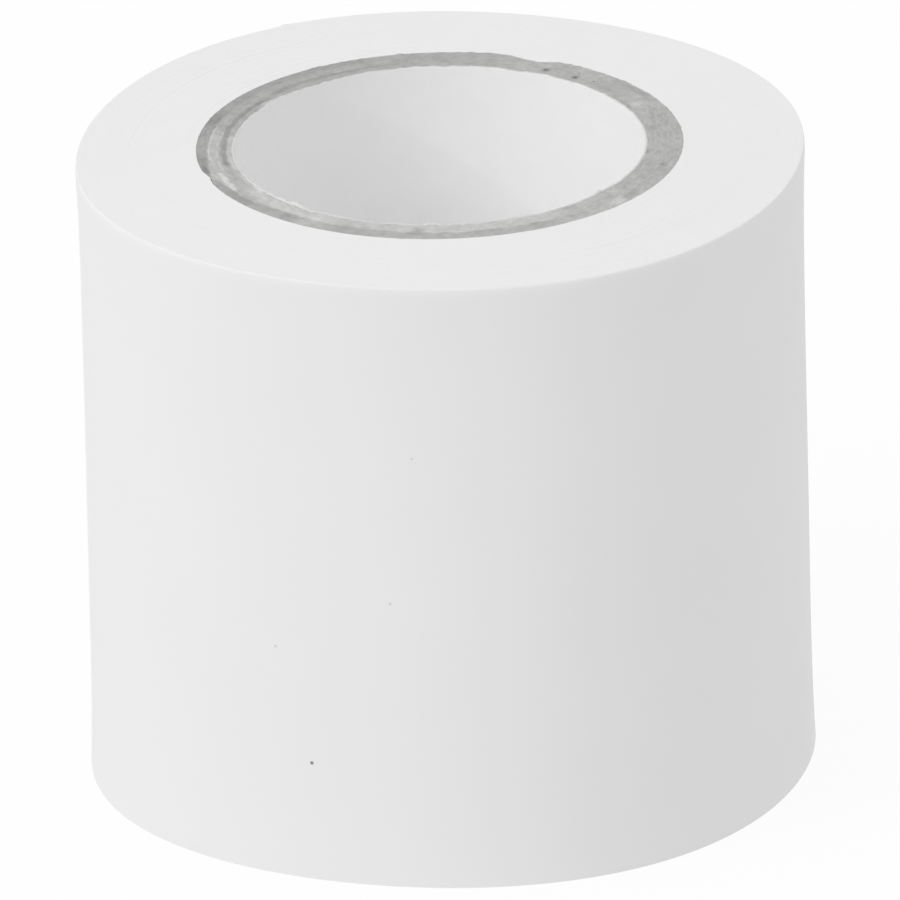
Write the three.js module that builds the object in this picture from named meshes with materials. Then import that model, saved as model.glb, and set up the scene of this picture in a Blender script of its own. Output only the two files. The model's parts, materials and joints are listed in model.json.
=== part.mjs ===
// A roll of PVC tape on a spiral-wound paper core, standing on one end face.
// Millimetres, +Z up along the roll's axis, origin at the centre of the lower end face.

import * as THREE from "three";

const TURN = 2 * Math.PI;
const radians = THREE.MathUtils.degToRad;

// The tape as it is sold
const TAPE_WIDTH = 50;
const TAPE_LENGTH = 10000;
const TAPE_THICKNESS = 0.13;
const WINDING_SLACK = 0.007; // mean air left between two wound turns

// The core, a tube of paper strips that are each wound in a helix, edge to edge
const CORE_BORE = 31.75;
const LINER_THICKNESS = 0.12;
const PLY_THICKNESS = 0.88;
const GLUE_LINE = 0.05; // between two layers of the core, and under the first turn of tape
const SEAM_PITCH = 65; // what a strip advances along the tube in one turn
const SEAM_GAP = 0.5; // along the tube, between the edges of a strip's neighbouring turns
const STRIP_TIP = 0.3; // height left at the point where the tube's end trims a strip

// Angles of the seams at the upper end face, in degrees from +X
const LINER_SEAM = 143;
const PLY_SEAMS = [300, 200, 64];

// The outermost turn and its free end
const TAIL_LENGTH = 25;
const TAIL_OVERLAP = 3; // of the free end over the start of the outermost turn
const PEEL_GAP = 0.3; // between the stuck tape and the free end, at the line where it peels
const PEEL_ANGLE = 64; // of that line, in degrees from +X
const TURN_CLEARANCE = 0.02; // between the outermost turn and the turns below it

// Flat sides in a full turn
const CORE_SIDES = 96;
const TAPE_SIDES = 120;

const pvcFilm = { color: 0xf0f0ee, roughness: 0.42, metalness: 0 };
const whitePaper = { color: 0xe4e3df, roughness: 0.85, metalness: 0 };
const greyChipboard = { color: 0xa9a7a3, roughness: 0.95, metalness: 0 };

// Point at an angle round the axis, a distance from it and a height
function polar(angle, radius, height) {
  return new THREE.Vector3(radius * Math.cos(angle), radius * Math.sin(angle), height);
}

// Four corners of a strip's cross-section in the half plane at an angle
function section(angle, inner, outer, bottom, top) {
  return [
    polar(angle, inner, bottom),
    polar(angle, outer, bottom),
    polar(angle, outer, top),
    polar(angle, inner, top),
  ];
}

// Distance from the axis of the flat side that joins the two nearest corners of a many-sided winding.
// Layers that share their corners' angles then lie parallel, also where a strip ends between two corners.
function flatSideRadius(radiusAt, angle, sides) {
  const step = TURN / sides;
  const before = Math.floor(angle / step) * step;
  const after = before + step;
  const low = radiusAt(before);
  const high = radiusAt(after);
  const share = low * Math.sin(angle - before) + high * Math.sin(after - angle);
  return (low * high * Math.sin(step)) / share;
}

// Angles from one end of a strip to the other: its ends, the corners between them, and any bends in its edges
function stations(from, to, sides, bends = []) {
  const step = TURN / sides;
  const corners = [];
  for (let corner = Math.ceil(from / step); corner * step < to; corner++) {
    corners.push(corner * step);
  }
  const apart = step / sides;
  const fixed = [from, to, ...bends.filter((bend) => bend > from && bend < to)];
  const free = corners.filter((corner) => fixed.every((angle) => Math.abs(angle - corner) > apart));
  return [...fixed, ...free].sort((a, b) => a - b);
}

// Closed solid through a row of cross-sections with equally many corners
function loft(sections) {
  const corners = sections[0].length;
  const faces = [];
  for (let row = 0; row + 1 < sections.length; row++) {
    for (let corner = 0; corner < corners; corner++) {
      const a = row * corners + corner;
      const b = row * corners + ((corner + 1) % corners);
      faces.push(a, a + corners, b + corners, a, b + corners, b);
    }
  }
  const last = (sections.length - 1) * corners;
  for (let corner = 1; corner + 1 < corners; corner++) {
    faces.push(0, corner, corner + 1);
    faces.push(last, last + corner + 1, last + corner);
  }
  const geometry = new THREE.BufferGeometry().setFromPoints(sections.flat());
  geometry.setIndex(faces);
  geometry.computeVertexNormals();
  return geometry;
}

// Least distance between corners of a winding that are more than half a turn apart along it
function leastGapToItself(angles, sections) {
  let least = Infinity;
  sections.forEach((later, i) => {
    sections.slice(0, i).forEach((earlier, j) => {
      if (angles[i] - angles[j] > TURN / 2) {
        for (const p of later) {
          for (const q of earlier) least = Math.min(least, p.distanceTo(q));
        }
      }
    });
  });
  return least;
}

function reportWinding(name, angles, sections) {
  const turns = (angles.at(-1) - angles[0]) / TURN;
  const gap = leastGapToItself(angles, sections);
  console.log(`${name}: ${turns.toFixed(2)} turns, least gap to itself ${gap.toFixed(2)} mm`);
}

function named(name, geometry, finish) {
  const mesh = new THREE.Mesh(geometry, new THREE.MeshStandardMaterial(finish));
  mesh.name = name;
  return mesh;
}

// One layer of the core: a strip wound in a right-handed helix and trimmed square at both ends of the tube.
// Its lower edge climbs one pitch a turn, and its upper edge stays a pitch less the seam above it.
function helicalStrip(name, inner, thickness, seam, finish) {
  const rise = SEAM_PITCH / TURN;
  const height = SEAM_PITCH - SEAM_GAP;
  const footing = radians(seam) - TAPE_WIDTH / rise;
  const lowerEdge = (angle) => (angle - footing) * rise;
  const angleOf = (edgeHeight) => footing + edgeHeight / rise;
  const first = angleOf(STRIP_TIP - height);
  const last = angleOf(TAPE_WIDTH - STRIP_TIP);
  const bends = [angleOf(0), angleOf(TAPE_WIDTH - height)];
  const angles = stations(first, last, CORE_SIDES, bends);
  const sections = angles.map((angle) => {
    const bottom = Math.max(0, lowerEdge(angle));
    const top = Math.min(TAPE_WIDTH, lowerEdge(angle) + height);
    const innerFace = flatSideRadius(() => inner, angle, CORE_SIDES);
    const outerFace = flatSideRadius(() => inner + thickness, angle, CORE_SIDES);
    return section(angle, innerFace, outerFace, bottom, top);
  });
  reportWinding(name, angles, sections);
  return named(name, loft(sections), finish);
}

// Layers of the core from the bore outwards, each a glue line outside the one before
const plyLayers = PLY_SEAMS.map((seam, i) => ({
  name: `core_ply_${i + 1}`,
  thickness: PLY_THICKNESS,
  seam,
  finish: greyChipboard,
}));
const liner = { name: "core_liner", thickness: LINER_THICKNESS, seam: LINER_SEAM, finish: whitePaper };

const core = new THREE.Group();
let layerRadius = CORE_BORE / 2;
for (const { name, thickness, seam, finish } of [liner, ...plyLayers]) {
  core.add(helicalStrip(name, layerRadius, thickness, seam, finish));
  layerRadius += thickness + GLUE_LINE;
}
const windingRadius = layerRadius;

// The wound tape fills a ring of its own length times its pitch, so its length gives the roll's radius
const woundArea = TAPE_LENGTH * (TAPE_THICKNESS + WINDING_SLACK);
const rollRadius = Math.sqrt(windingRadius ** 2 + woundArea / Math.PI);

// Angles along the outermost turn, which climbs by one layer from its start to the free end over it
const peelLine = radians(PEEL_ANGLE);
const freeEnd = peelLine + TAIL_LENGTH / rollRadius;
const turnStart = freeEnd - TAIL_OVERLAP / rollRadius - TURN;
const halfPeelGap = PEEL_GAP / 2 / rollRadius;
const layerPitch = TAPE_THICKNESS + TURN_CLEARANCE;
const outerFaceAt = (angle) => rollRadius - (layerPitch * (freeEnd - angle)) / TURN;
const innerFaceAt = (angle) => outerFaceAt(angle) - TAPE_THICKNESS;
const packFaceAt = (angle) => innerFaceAt(angle) - TURN_CLEARANCE;

// The turns below the outermost one, as one wound ring whose outside steps up by a layer at the turn's start
function woundPack() {
  const outline = stations(turnStart, turnStart + TURN, TAPE_SIDES).map((angle) =>
    polar(angle, flatSideRadius(packFaceAt, angle, TAPE_SIDES), 0),
  );
  const coreHole = [];
  for (let corner = 0; corner < CORE_SIDES; corner++) {
    coreHole.push(polar((-corner * TURN) / CORE_SIDES, windingRadius, 0));
  }
  const shape = new THREE.Shape(outline);
  shape.holes.push(new THREE.Path(coreHole));
  const geometry = new THREE.ExtrudeGeometry(shape, { depth: TAPE_WIDTH, bevelEnabled: false });
  return named("tape_pack", geometry, pvcFilm);
}

// A length of the outermost layer between two angles
function tapeStrip(name, from, to) {
  const angles = stations(from, to, TAPE_SIDES);
  const sections = angles.map((angle) => {
    const inner = flatSideRadius(innerFaceAt, angle, TAPE_SIDES);
    const outer = flatSideRadius(outerFaceAt, angle, TAPE_SIDES);
    return section(angle, inner, outer, 0, TAPE_WIDTH);
  });
  if (to - from > TURN / 2) reportWinding(name, angles, sections);
  return named(name, loft(sections), pvcFilm);
}

const tape = new THREE.Group();
tape.add(
  woundPack(),
  tapeStrip("tape_outer_turn", turnStart + 2 * halfPeelGap, peelLine - halfPeelGap),
  tapeStrip("tape_tail", peelLine + halfPeelGap, freeEnd),
);

const roll = new THREE.Group();
roll.add(core, tape);

export default roll;
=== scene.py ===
"""Looks of a roll of white PVC tape on a spiral-wound paper core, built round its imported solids.

Lengths are millimetres until they reach a mesh, a lamp or the camera, which are in metres.
Angles round the roll are radians from +X towards +Y, except where degrees are named, and along a winding they
run on past a full turn.
"""

from __future__ import annotations

import json
import logging
import math
from collections.abc import Callable
from dataclasses import dataclass, field
from enum import Enum, IntEnum
from typing import Any

import bpy
import numpy as np
from mathutils import Matrix, Vector
from numpy.typing import NDArray

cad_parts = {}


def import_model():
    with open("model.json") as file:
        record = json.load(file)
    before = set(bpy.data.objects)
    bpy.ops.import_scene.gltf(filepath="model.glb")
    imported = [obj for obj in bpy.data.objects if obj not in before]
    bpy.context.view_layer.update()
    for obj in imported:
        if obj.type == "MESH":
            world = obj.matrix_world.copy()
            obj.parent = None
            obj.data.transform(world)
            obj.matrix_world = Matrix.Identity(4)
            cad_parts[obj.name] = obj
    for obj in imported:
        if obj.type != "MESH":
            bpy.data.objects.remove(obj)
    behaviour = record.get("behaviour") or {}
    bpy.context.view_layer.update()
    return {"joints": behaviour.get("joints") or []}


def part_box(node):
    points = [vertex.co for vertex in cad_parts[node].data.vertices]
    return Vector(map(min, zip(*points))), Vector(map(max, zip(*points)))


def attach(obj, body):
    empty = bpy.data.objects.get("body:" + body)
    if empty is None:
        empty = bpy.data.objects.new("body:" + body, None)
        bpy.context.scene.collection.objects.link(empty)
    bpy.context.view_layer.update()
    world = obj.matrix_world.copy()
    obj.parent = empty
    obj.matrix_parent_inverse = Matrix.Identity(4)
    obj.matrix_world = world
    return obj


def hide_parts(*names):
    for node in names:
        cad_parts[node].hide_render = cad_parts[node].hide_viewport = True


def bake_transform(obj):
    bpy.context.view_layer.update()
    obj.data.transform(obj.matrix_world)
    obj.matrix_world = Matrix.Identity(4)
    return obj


Array = NDArray[np.float64]
Indices = NDArray[np.int64]
Linear = tuple[float, float, float, float]
Wave = tuple[float, float]
Dent = tuple[float, float, float]
Material = bpy.types.Material
Socket = bpy.types.NodeSocket
Tree = bpy.types.NodeTree

LOG = logging.getLogger("tape_roll")
MM = 0.001
TURN = 2.0 * math.pi
UV_MAP = "wound"
TONE = "tone"
DENT_EASE = 3.0  # degrees over which each side of a dent eases


class Body(Enum):
    """Rigid bodies of the part that a piece rides on."""

    ROLL = "roll"
    TAIL = "tail"


class Slot(Enum):
    """Material slots of the part's record."""

    FILM = "pvc_film"
    LINER = "liner_paper"
    BOARD = "chipboard"


class Seed(IntEnum):
    """Seeds of the random forms. A form of two ripples also takes the seed after its own."""

    TURN_EDGE = 3
    PACK_EDGE = 4
    FACE = 11
    CUT_END = 12
    FRAY_ABOVE = 31
    FRAY_BELOW = 33
    TEAR = 71
    LINER_EDGE = 73
    MARK = 81


def linear(hex_colour: str) -> Linear:
    """Turn an sRGB hex colour into linear light, by the sRGB curve.

    Args:
        hex_colour: Colour such as "#E4E3DF".

    Returns:
        Linear red, green and blue, and an alpha of one.
    """
    shares = [int(hex_colour[i : i + 2], 16) / 255 for i in (1, 3, 5)]
    red, green, blue = (s / 12.92 if s <= 0.04045 else ((s + 0.055) / 1.055) ** 2.4 for s in shares)
    return red, green, blue, 1.0


def per_metre(size: float) -> float:
    """Texture scale on Object coordinates for features of a size in millimetres."""
    return 1.0 / (size * MM)


def smooth(share: Array) -> Array:
    """Ease from 0 to 1 with level ends: three times the square less twice the cube."""
    held = np.clip(share, 0.0, 1.0)
    return held * held * (3.0 - 2.0 * held)


def degrees_from(angle: Array, middle: float) -> Array:
    """Degrees from a middle to each angle, the shorter way round."""
    return (np.degrees(angle) - middle + 180.0) % 360.0 - 180.0


def sector(angle: Array, start: float, end: float, ease: float) -> Array:
    """Weight of a sector of the roll, one inside and easing to nought outside.

    Args:
        angle: Angles in radians, any number of turns.
        start: First angle of the sector, in degrees.
        end: Last angle of the sector, in degrees.
        ease: Angle over which each side eases, in degrees.

    Returns:
        Weights between 0 and 1, shaped like the angles.
    """
    away = np.abs(degrees_from(angle, (start + end) / 2.0))
    return smooth(((end - start) / 2.0 - away) / ease + 0.5)


def dent_depth(dents: tuple[Dent, ...], angle: Array) -> Array:
    """Sum of dents, each a depth between two angles in degrees."""
    return sum(depth * sector(angle, start, end, DENT_EASE) for start, end, depth in dents)


def ripple(seed: int, places: Array, length: float, octaves: int = 3) -> Array:
    """Smooth random height: sums of sine waves with drawn directions and phases.

    Each octave has half the wavelength and half the height of the one before.

    Args:
        seed: Seed of the draws.
        places: Array whose last axis holds coordinates.
        length: Longest wavelength, in the coordinates' unit.
        octaves: Number of octaves.

    Returns:
        Heights with a spread of about one, without the last axis.
    """
    waves, shortest, longest = 7, 0.75, 1.3
    draw = np.random.default_rng(seed)
    total = np.zeros(places.shape[:-1])
    for octave in range(octaves):
        headings = draw.normal(size=(places.shape[-1], waves))
        headings /= np.linalg.norm(headings, axis=0)
        phases = draw.uniform(0.0, TURN, waves)
        turns = TURN / length * 2.0**octave * draw.uniform(shortest, longest, waves)
        total += np.sin((places @ headings) * turns + phases).sum(-1) * 0.5**octave
    return total / math.sqrt(waves / 2.0)


def around_axis(angle: Array, radius: Array, height: Array) -> Array:
    """Points at an angle round the axis, a distance from it and a height."""
    angle, radius, height = np.broadcast_arrays(angle, radius, height)
    return np.stack([radius * np.cos(angle), radius * np.sin(angle), height], axis=-1)


def section_lengths(points: Array) -> Array:
    """Distances round a closed section, from nought at its first point back to that point."""
    steps = np.linalg.norm(np.roll(points, -1, axis=0) - points, axis=1)
    return np.concatenate([[0.0], np.cumsum(steps)])


def link(name: str, data: bpy.types.ID) -> bpy.types.Object:
    """Put a mesh, a lamp or a camera into the scene, as an object at the origin.

    Args:
        name: Name of the object.
        data: What it shows.

    Returns:
        The new object.
    """
    made = bpy.data.objects.new(name, data)
    bpy.context.scene.collection.objects.link(made)
    return made


@dataclass
class Strip:
    """A closed strip: a row of cross-sections with equally many points, and a cap at each end.

    A section runs up its outer face, in along its upper edge, down its inner face and out along its lower
    edge, and the row of sections turns from +X towards +Y, so that the faces point outwards. A cap's faces
    join the first half of a section's points to the other half, counted backwards.

    Attributes:
        points: Sections by section points by 3, in millimetres.
        along: Distance of each section along the strip, in millimetres.
        around: Distance of each section point round its section, with the closing one last.
        finish_of_column: Index of the finish of each column of faces.
        shades: Named values at each point, which a finish may read.
    """

    points: Array
    along: Array
    around: Array
    finish_of_column: NDArray[np.int32]
    shades: dict[str, Array] = field(default_factory=dict)

    def piece(self, name: str, finishes: list[Material], crease: float = 40.0) -> bpy.types.Object:
        """Make the strip's object and report it.

        Args:
            name: Name of the piece.
            finishes: Materials that finish_of_column counts.
            crease: Angle between faces, in degrees, past which their edge stays sharp.

        Returns:
            The new object, linked to the scene.
        """
        rows, columns, _ = self.points.shape
        row, column = np.meshgrid(np.arange(rows - 1), np.arange(columns), indexing="ij")
        after = (column + 1) % columns
        corners = [
            row * columns + column,
            (row + 1) * columns + column,
            (row + 1) * columns + after,
            row * columns + after,
        ]
        quads = np.stack(corners, axis=-1).reshape(-1, 4)
        rung = np.arange(columns // 2 - 1)
        cap = np.stack([rung, rung + 1, columns - 2 - rung, columns - 1 - rung], axis=-1)
        faces = np.concatenate([quads, cap, (rows - 1) * columns + cap[:, ::-1]])
        mesh = bpy.data.meshes.new(name)
        mesh.from_pydata(self.points.reshape(-1, 3) * MM, [], faces.tolist())
        self._lay_out(mesh, row, column, cap)
        for shade, values in self.shades.items():
            layer = mesh.attributes.new(shade, "FLOAT", "POINT")
            layer.data.foreach_set("value", values.astype(np.float32).ravel())
        for finish in finishes:
            mesh.materials.append(finish)
        of_quad, of_cap = np.tile(self.finish_of_column, rows - 1), np.zeros(2 * len(cap))
        mesh.polygons.foreach_set("material_index", np.append(of_quad, of_cap).astype(np.int32))
        mesh.shade_smooth()
        mesh.set_sharp_from_angle(angle=math.radians(crease))
        LOG.info("%s: %d faces", name, len(mesh.polygons))
        return link(name, mesh)

    def _lay_out(self, mesh: bpy.types.Mesh, row: Indices, column: Indices, cap: Indices) -> None:
        """Give the faces a UV map in millimetres: along the strip, and round its section.

        Args:
            mesh: Mesh whose faces are the strip's own, then one cap's and the other's.
            row: First section of each of the strip's own faces.
            column: First section point of each of them.
            cap: Section points of each face of the first cap.
        """
        before, behind = self.along[row], self.along[row + 1]
        along = np.stack([before, behind, behind, before], axis=-1)
        low, high = self.around[column], self.around[column + 1]
        across = np.stack([low, low, high, high], axis=-1)
        places = [np.stack([along, across], axis=-1).reshape(-1, 2)]
        for at, corners in ((self.along[0], cap), (self.along[-1], cap[:, ::-1])):
            places.append(np.stack([np.full(cap.shape, at), self.around[corners]], axis=-1).reshape(-1, 2))
        layer = mesh.uv_layers.new(name=UV_MAP)
        layer.data.foreach_set("uv", np.concatenate(places).astype(np.float32).ravel())


def add_node(
    tree: Tree,
    kind: str,
    links: dict[str | int, Socket] | None = None,
    values: dict[str | int, Any] | None = None,
    **settings: Any,
) -> bpy.types.Node:
    """Add a node with its settings, socket values and incoming links.

    Args:
        tree: Node tree of a material or a world.
        kind: Node type.
        links: Outputs to link, by input name or number.
        values: Values to set, by input name or number.
        **settings: The node's own properties.

    Returns:
        The new node.
    """
    node = tree.nodes.new(kind)
    for name, value in settings.items():
        setattr(node, name, value)
    for key, value in (values or {}).items():
        node.inputs[key].default_value = value
    for key, socket in (links or {}).items():
        tree.links.new(socket, node.inputs[key])
    return node


def empty_material(name: str) -> tuple[Material, Tree]:
    """Make a material with no nodes.

    Args:
        name: Name of the material.

    Returns:
        The material and its tree.
    """
    material = bpy.data.materials.new(name)
    material.use_nodes = True
    material.node_tree.nodes.clear()
    return material, material.node_tree


def close_surface(tree: Tree, links: dict[str, Socket], values: dict[str, Any]) -> None:
    """End a material's tree in one surface with these links and values."""
    shader = add_node(tree, "ShaderNodeBsdfPrincipled", links, values)
    add_node(tree, "ShaderNodeOutputMaterial", {"Surface": shader.outputs["BSDF"]})


def drawn_out(tree: Tree, along: float, across: float) -> Socket:
    """Noise whose patches are drawn out on the winding's UV map.

    Args:
        tree: Node tree of a material.
        along: Size of a patch along the strip.
        across: Size of a patch round its section.

    Returns:
        The noise.
    """
    wound = add_node(tree, "ShaderNodeUVMap", uv_map=UV_MAP).outputs["UV"]
    scale = {"Scale": (1.0 / along, 1.0 / across, 1.0)}
    drawn = add_node(tree, "ShaderNodeMapping", {"Vector": wound}, scale).outputs["Vector"]
    noise = add_node(tree, "ShaderNodeTexNoise", {"Vector": drawn}, {"Scale": 1.0, "Detail": 3.0})
    return noise.outputs["Fac"]


@dataclass(frozen=True)
class Cloud:
    """Two tones of a colour, mixed by soft noise.

    Attributes:
        pale: Colour where the noise is low.
        dull: Colour where it is high.
        size: Size of the largest patches.
        detail: Number of finer octaves.
        breakup: Share of its height that an octave passes on to the next.
    """

    pale: str
    dull: str
    size: float
    detail: float = 4.0
    breakup: float = 0.6

    def spread(self, tree: Tree, place: Socket) -> tuple[Socket, Socket]:
        """Add the noise and the colours.

        Args:
            tree: Node tree of a material.
            place: Object coordinates in it.

        Returns:
            The noise and the mixed colour.
        """
        noise = add_node(
            tree,
            "ShaderNodeTexNoise",
            {"Vector": place},
            {"Scale": per_metre(self.size), "Detail": self.detail, "Roughness": self.breakup},
        ).outputs["Fac"]
        tones = {6: linear(self.pale), 7: linear(self.dull)}
        return noise, add_node(tree, "ShaderNodeMix", {0: noise}, tones, data_type="RGBA").outputs[2]


@dataclass(frozen=True)
class Relief:
    """Fine bumps of a surface.

    Attributes:
        size: Width of a bump.
        height: Height of a bump.
        strength: Share of that height that shows.
    """

    size: float
    height: float
    strength: float = 1.0

    def spread(self, tree: Tree, place: Socket) -> Socket:
        """Add the noise and its bumps.

        Args:
            tree: Node tree of a material.
            place: Object coordinates in it.

        Returns:
            The bumpy normal.
        """
        noise = add_node(
            tree, "ShaderNodeTexNoise", {"Vector": place}, {"Scale": per_metre(self.size), "Detail": 2.0}
        )
        return self.raise_by(tree, noise.outputs["Fac"])

    def raise_by(self, tree: Tree, noise: Socket) -> Socket:
        """Add bumps that follow a noise, and return their normal."""
        depth = {"Strength": self.strength, "Distance": self.height * MM}
        return add_node(tree, "ShaderNodeBump", {"Height": noise}, depth).outputs["Normal"]


@dataclass(frozen=True)
class CalenderedPvc:
    """Plasticised white PVC film, rolled between polished calender rolls.

    The eye sees an even, nearly opaque white with a satin gloss, a faint cloudiness and a few specks of dust.
    The film's roughness follows the clouds. The grain of the rolls is drawn coarser than it is, so that it
    shows. A speck is an angle in degrees, a height, a radius and how far it shows.
    """

    name: str = "pvc_film_calendered"
    cloud: Cloud = Cloud("#EEEEEE", "#EBEBEB", 11.0, 3.0, 0.55)
    grain: Relief = Relief(0.5, 0.0015)
    speck: str = "#8A8A89"
    specks: tuple[tuple[float, float, float, float], ...] = (
        (246.7, 9.65, 0.19, 1.0),
        (240.8, 19.0, 0.14, 0.35),
        (264.4, 35.8, 0.12, 0.3),
        (260.4, 23.6, 0.13, 0.35),
        (18.0, 41.0, 0.13, 0.5),
        (152.0, 14.5, 0.15, 0.6),
    )
    speck_core: float = 0.5
    roughness: tuple[float, float] = (0.5, 0.58)
    specular: float = 0.2

    def material(self, outside: Callable[[float, float], float]) -> Material:
        """Build the film's node tree.

        Args:
            outside: Radius of the roll's outside, where the specks lie, at an angle and a height.

        Returns:
            The material.
        """
        material, tree = empty_material(self.name)
        place = add_node(tree, "ShaderNodeTexCoord").outputs["Object"]
        noise, colour = self.cloud.spread(tree, place)
        for degrees, height, size, shown in self.specks:
            angle = math.radians(degrees)
            centre = tuple(around_axis(angle, outside(angle, height), height) * MM)
            away = add_node(tree, "ShaderNodeVectorMath", {0: place}, {1: centre}, operation="DISTANCE")
            reach = size * MM
            fade = {"From Min": self.speck_core * reach, "From Max": reach, "To Min": shown, "To Max": 0.0}
            dot = add_node(tree, "ShaderNodeMapRange", {"Value": away.outputs["Value"]}, fade)
            dusted = {0: dot.outputs["Result"], 6: colour}
            mixed = add_node(tree, "ShaderNodeMix", dusted, {7: linear(self.speck)}, data_type="RGBA")
            colour = mixed.outputs[2]
        low, high = self.roughness
        gloss = add_node(tree, "ShaderNodeMapRange", {"Value": noise}, {"To Min": low, "To Max": high})
        normal = self.grain.spread(tree, place)
        look = {"Base Color": colour, "Roughness": gloss.outputs["Result"], "Normal": normal}
        close_surface(tree, look, {"Specular IOR Level": self.specular})
        return material


@dataclass(frozen=True)
class SlitEdge:
    """Edges of the wound film, slit on a lathe.

    The eye sees a matt white face, with a fine line at each turn that the turns' own edges give.
    """

    name: str = "pvc_film_slit_edge"
    cloud: Cloud = Cloud("#E7E7E7", "#E4E4E4", 3.0)
    roughness: float = 0.62
    ior: float = 1.53

    def material(self) -> Material:
        """Build the slit edge's node tree.

        Returns:
            The material.
        """
        material, tree = empty_material(self.name)
        _, colour = self.cloud.spread(tree, add_node(tree, "ShaderNodeTexCoord").outputs["Object"])
        close_surface(tree, {"Base Color": colour}, {"Roughness": self.roughness, "IOR": self.ior})
        return material


@dataclass(frozen=True)
class RubberAdhesive:
    """Rubber resin adhesive, coated on the film's inner face.

    The eye sees a slightly creamy, wetter gloss with fine legs across it, where it was pulled off.
    """

    name: str = "rubber_adhesive_coated"
    colour: str = "#E3E1D8"
    legs: Relief = Relief(0.6, 0.012)
    leg_length: float = 5.0
    roughness: float = 0.24
    ior: float = 1.5

    def material(self) -> Material:
        """Build the adhesive's node tree.

        Returns:
            The material.
        """
        material, tree = empty_material(self.name)
        normal = self.legs.raise_by(tree, drawn_out(tree, self.legs.size, self.leg_length))
        look = {"Base Color": linear(self.colour), "Roughness": self.roughness, "IOR": self.ior}
        close_surface(tree, {"Normal": normal}, look)
        return material


@dataclass(frozen=True)
class Chipboard:
    """Grey recycled board, wound wet with glue and saw-cut across.

    The eye sees mottled matt grey with dark flecks, paler where bare fibres show, and darker where it is
    soiled and where painted shade stands for the shadow in splits between plies. A tone of one multiplies
    the board's colour by the tone step. The contrast is the range of the summed noises that goes from the
    dark colour to the pale one, and a fleck fades from its core outwards.
    The fibres are drawn wider than they are, so that they show.
    """

    name: str = "chipboard_saw_cut"
    dark: str = "#A8A8A7"
    pale: str = "#C0C0BF"
    fleck: str = "#70706F"
    contrast: tuple[float, float] = (0.72, 1.28)
    tone_step: float = 1.35
    mottle: Relief = Relief(1.3, 0.04, 0.8)
    fibre_length: float = 0.7
    fibre_width: float = 0.25
    fleck_spacing: float = 1.5
    fleck_radius: float = 0.13
    fleck_core: float = 0.4
    fleck_share: float = 0.3
    fleck_depth: float = 0.8
    roughness: float = 0.93
    specular: float = 0.25

    def material(self) -> Material:
        """Build the board's node tree.

        Returns:
            The material.
        """
        material, tree = empty_material(self.name)
        place = add_node(tree, "ShaderNodeTexCoord").outputs["Object"]
        mottle = add_node(
            tree,
            "ShaderNodeTexNoise",
            {"Vector": place},
            {"Scale": per_metre(self.mottle.size), "Detail": 5.0, "Roughness": 0.65},
        ).outputs["Fac"]
        fibre = drawn_out(tree, self.fibre_length, self.fibre_width)
        mixed = add_node(tree, "ShaderNodeMath", {0: mottle, 1: fibre}, operation="ADD").outputs["Value"]
        low, high = self.contrast
        share = add_node(tree, "ShaderNodeMapRange", {"Value": mixed}, {"From Min": low, "From Max": high})
        tones = {6: linear(self.dark), 7: linear(self.pale)}
        board = add_node(tree, "ShaderNodeMix", {0: share.outputs["Result"]}, tones, data_type="RGBA")
        # The tone darkens the board where it is soiled and where painted shade stands for the shadow in
        # splits between plies, and lightens it where bare fibres show.
        tone = add_node(tree, "ShaderNodeAttribute", attribute_name=TONE).outputs["Fac"]
        gain = add_node(tree, "ShaderNodeMath", {1: tone}, {0: self.tone_step}, operation="POWER")
        worn_and_shaded = {0: board.outputs[2], "Scale": gain.outputs["Value"]}
        toned_and_shaded = add_node(tree, "ShaderNodeVectorMath", worn_and_shaded, operation="SCALE")
        colour = add_node(
            tree,
            "ShaderNodeMix",
            {0: self._flecks(tree, place), 6: toned_and_shaded.outputs["Vector"]},
            {7: linear(self.fleck)},
            data_type="RGBA",
        )
        look = {"Base Color": colour.outputs[2], "Normal": self.mottle.raise_by(tree, mixed)}
        close_surface(tree, look, {"Roughness": self.roughness, "Specular IOR Level": self.specular})
        return material

    def _flecks(self, tree: Tree, place: Socket) -> Socket:
        """Add the flecks: a spot in the middle of some of the cells of a cell pattern.

        Args:
            tree: Node tree of the board.
            place: Object coordinates in it.

        Returns:
            How far a fleck covers the board.
        """
        scale = {"Scale": per_metre(self.fleck_spacing)}
        cell = add_node(tree, "ShaderNodeTexVoronoi", {"Vector": place}, scale).outputs
        rare = {1: self.fleck_share}
        chosen = add_node(tree, "ShaderNodeMath", {0: cell["Color"]}, rare, operation="LESS_THAN")
        reach, depth = self.fleck_radius / self.fleck_spacing, self.fleck_depth
        fade = {"From Min": self.fleck_core * reach, "From Max": reach, "To Min": depth, "To Max": 0.0}
        dot = add_node(tree, "ShaderNodeMapRange", {"Value": cell["Distance"]}, fade)
        both = {0: chosen.outputs["Value"], 1: dot.outputs["Result"]}
        return add_node(tree, "ShaderNodeMath", both, operation="MULTIPLY").outputs["Value"]


@dataclass(frozen=True)
class LinerPaper:
    """Bleached kraft paper, the core's smooth inner lining.

    The eye sees matt white with a faint cloud of fibres, and a greyer, fuzzy edge where it was cut. A fibre
    is drawn wider than it is, so that it shows.
    """

    name: str = "kraft_paper_bleached"
    pale: str = "#F8F8F8"
    cloudy: str = "#F4F4F4"
    cloud_size: float = 2.2
    fibre: Relief = Relief(0.16, 0.012, 0.6)
    roughness: float = 0.85
    specular: float = 0.3

    def material(self) -> Material:
        """Build the paper's node tree.

        Returns:
            The material.
        """
        material, tree = empty_material(self.name)
        place = add_node(tree, "ShaderNodeTexCoord").outputs["Object"]
        _, colour = Cloud(self.pale, self.cloudy, self.cloud_size).spread(tree, place)
        look = {"Base Color": colour, "Normal": self.fibre.spread(tree, place)}
        close_surface(tree, look, {"Roughness": self.roughness, "Specular IOR Level": self.specular})
        return material


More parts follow.
